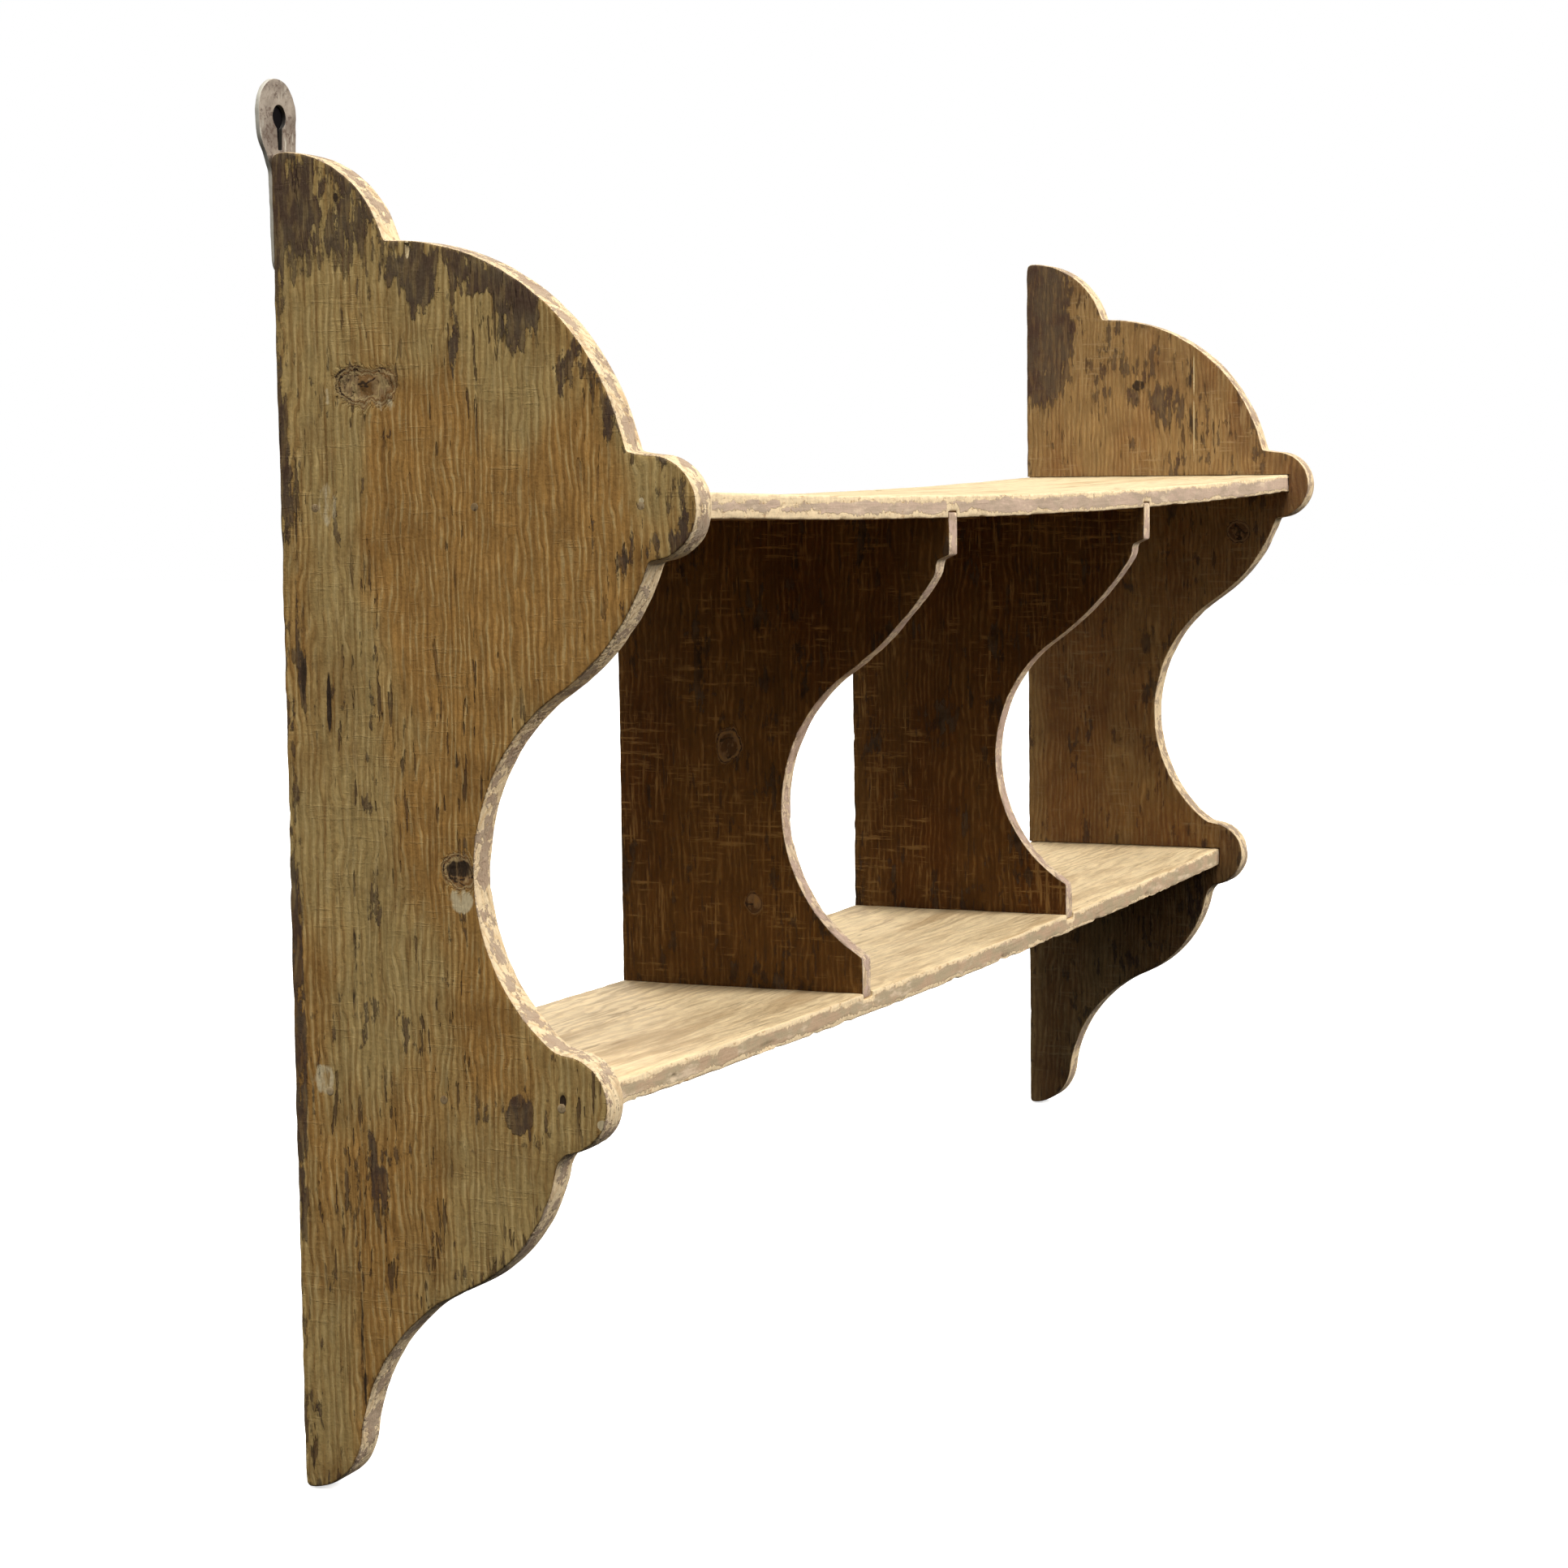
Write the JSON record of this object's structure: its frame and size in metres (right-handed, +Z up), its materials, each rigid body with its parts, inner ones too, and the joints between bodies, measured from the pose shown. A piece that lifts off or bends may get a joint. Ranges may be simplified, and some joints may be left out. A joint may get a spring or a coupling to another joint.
{
  "type": "wall shelf",
  "caption": "Old pine wall shelf with scalloped end boards, thin sagging shelves, shaped dividers between them and an iron keyhole plate to hang it by.",
  "frame": {"origin": "middle of the upper shelf's back edge, in the plane of the boards' back edges", "axes": "+X along the shelves to the right as seen from the room, +Y out of the back towards the wall, +Z up"},
  "size_m": [1.0845, 0.2247, 0.6862],
  "materials": {
    "end_board_pine": "old waxed pine with remains of dark paint, worn pale along the edges",
    "shelf_pine": "bare scrubbed pine with a worn paint band on the front edge",
    "divider_pine": "dark waxed pine, scratched, pale front edge",
    "plate_iron": "dull grey-brown patinated iron with rubbed edges",
    "screw_steel": "dull old steel",
    "nail_steel": "dark rusted steel"
  },
  "bodies": {
    "root": {"left_end_board": "end_board_pine", "right_end_board": "end_board_pine", "upper_shelf": "shelf_pine", "lower_shelf": "shelf_pine", "left_divider": "divider_pine", "right_divider": "divider_pine", "hanging_plate": "plate_iron", "plate_screws": "screw_steel", "left_upper_end_nails": "nail_steel", "right_upper_end_nails": "nail_steel", "left_lower_end_nails": "nail_steel", "right_lower_end_nails": "nail_steel", "left_divider_top_nails": "nail_steel", "left_divider_foot_nails": "nail_steel", "right_divider_top_nails": "nail_steel", "right_divider_foot_nails": "nail_steel"}
  },
  "joints": []
}
